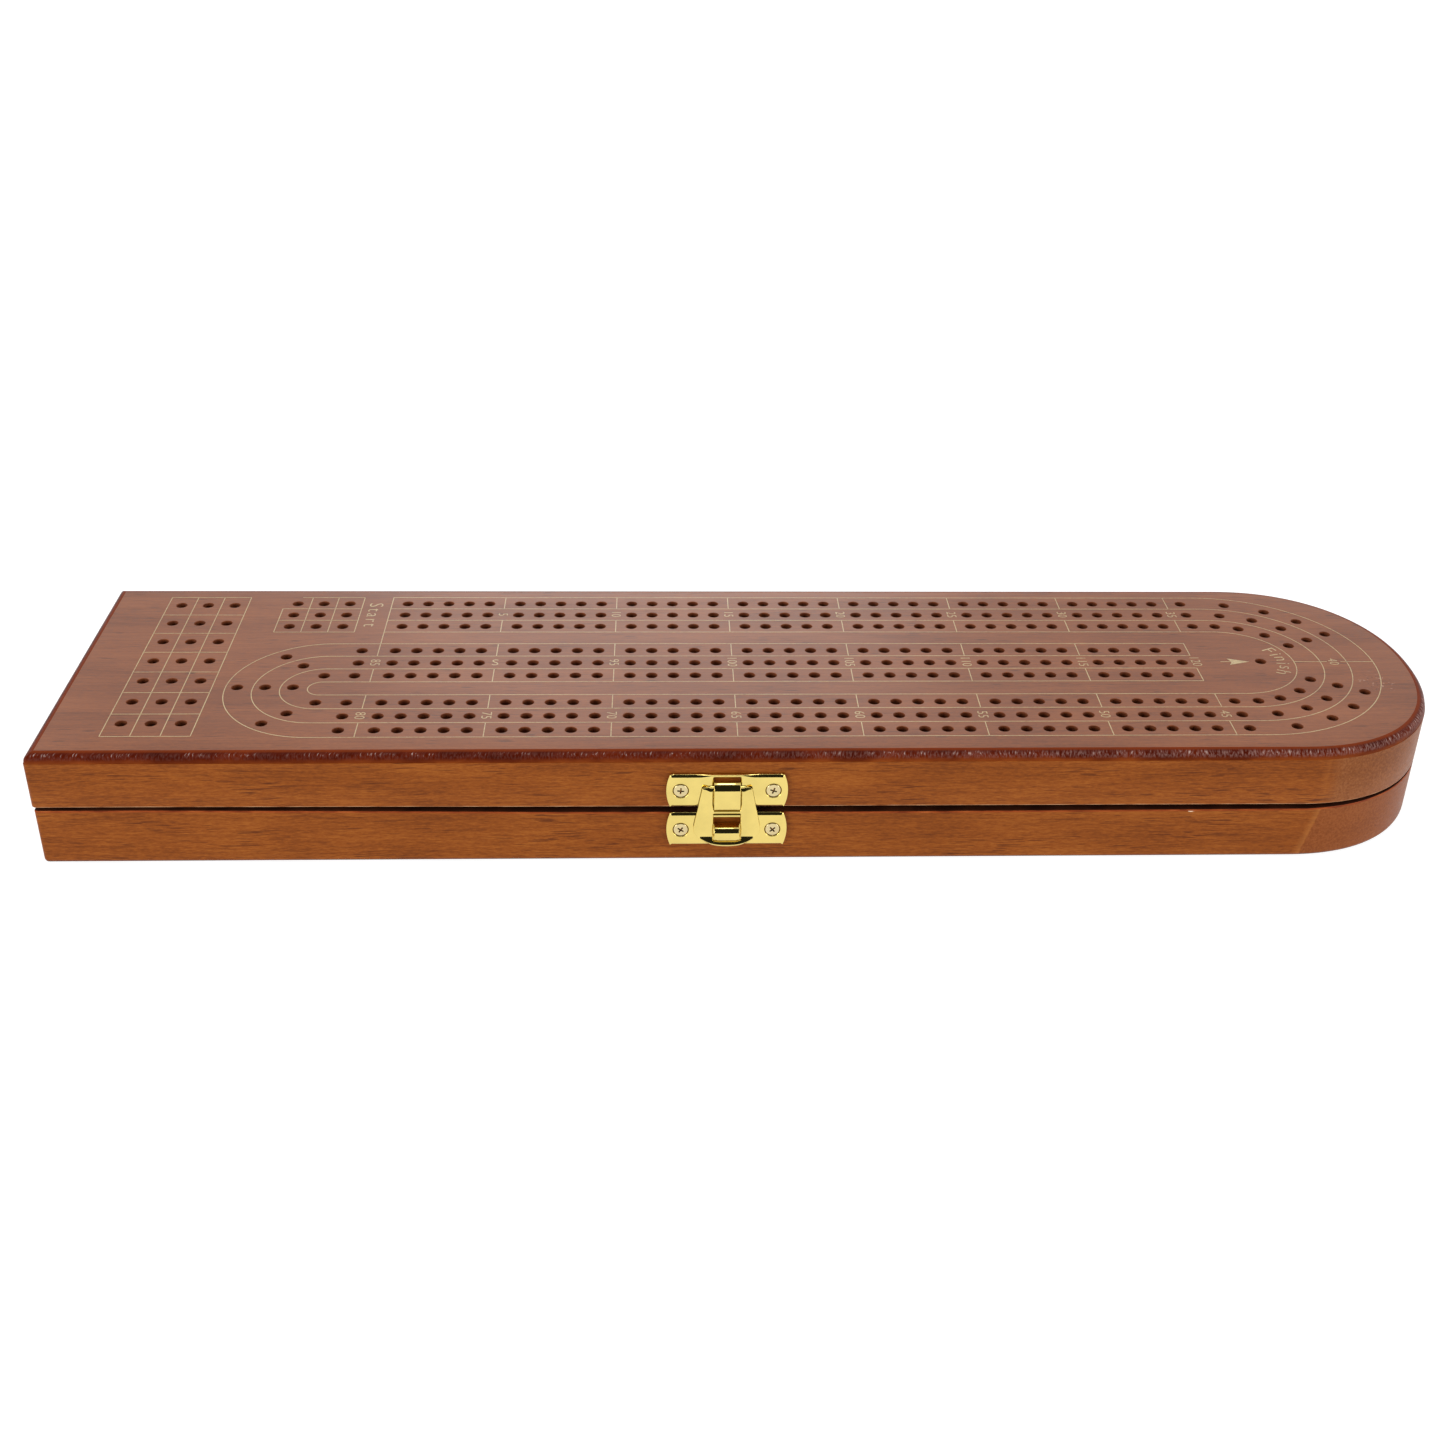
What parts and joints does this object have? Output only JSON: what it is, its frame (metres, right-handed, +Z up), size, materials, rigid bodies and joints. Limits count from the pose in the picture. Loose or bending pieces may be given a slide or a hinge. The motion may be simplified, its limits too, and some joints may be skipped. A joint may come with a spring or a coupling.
{
  "type": "cribbage board",
  "caption": "Folding wooden cribbage board: a drilled track with a rounded end is the hinged lid of a shallow case with a brass latch and pockets for playing cards and metal pegs.",
  "frame": {"origin": "centre of the flat underside, on the surface the board rests on", "axes": "+X along the length towards the rounded end, +Y across towards the hinges, +Z up through the track face"},
  "size_m": [0.396, 0.1118, 0.0346],
  "materials": {
    "track_wood": "stained veneer under satin lacquer",
    "case_wood": "stained veneer under satin lacquer, darker at the routed round-over",
    "polished_brass": "bright polished",
    "screw_brass": "plated",
    "peg_brass": "turned and polished",
    "peg_steel": "turned and polished",
    "peg_black": "black plated"
  },
  "bodies": {
    "base": {"bottom_board": "case_wood", "base_front_rail": "case_wood", "base_back_rail": "case_wood", "base_left_rail": "case_wood", "base_divider_1": "case_wood", "base_divider_2": "case_wood", "base_divider_3": "case_wood", "base_round_end": "case_wood", "hinge_left_base_leaf": "polished_brass", "hinge_right_base_leaf": "polished_brass", "hinge_left_pin": "polished_brass", "hinge_right_pin": "polished_brass", "latch_base_plate": "polished_brass", "hinge_left_base_screw_1": "screw_brass", "hinge_left_base_screw_2": "screw_brass", "hinge_right_base_screw_1": "screw_brass", "hinge_right_base_screw_2": "screw_brass", "latch_base_screw_left": "screw_brass", "latch_base_screw_right": "screw_brass", "peg_brass_1": "peg_brass", "peg_brass_2": "peg_brass", "peg_brass_3": "peg_brass", "peg_steel_1": "peg_steel", "peg_steel_2": "peg_steel", "peg_steel_3": "peg_steel", "peg_black_1": "peg_black", "peg_black_2": "peg_black", "peg_black_3": "peg_black"},
    "lid": {"track_board": "track_wood", "lid_front_rail": "case_wood", "lid_back_rail": "case_wood", "lid_left_rail": "case_wood", "lid_divider_1": "case_wood", "lid_divider_2": "case_wood", "lid_divider_3": "case_wood", "lid_round_end": "case_wood", "hinge_left_lid_leaf": "polished_brass", "hinge_right_lid_leaf": "polished_brass", "latch_lid_plate": "polished_brass", "hinge_left_lid_screw_1": "screw_brass", "hinge_left_lid_screw_2": "screw_brass", "hinge_right_lid_screw_1": "screw_brass", "hinge_right_lid_screw_2": "screw_brass", "latch_lid_screw_left": "screw_brass", "latch_lid_screw_right": "screw_brass"},
    "flap": {"latch_flap": "polished_brass"}
  },
  "joints": [
    {"name": "lid_hinge", "type": "hinge", "parent": "base", "child": "lid", "pos_m": [0, 0.0541, 0.0173], "axis": [-1, 0, 0], "range_deg": [0, 180]},
    {"name": "latch_swing", "type": "hinge", "parent": "lid", "child": "flap", "pos_m": [-0.0095, -0.0539, 0.0246], "axis": [-1, 0, 0], "range_deg": [0, 110]}
  ]
}
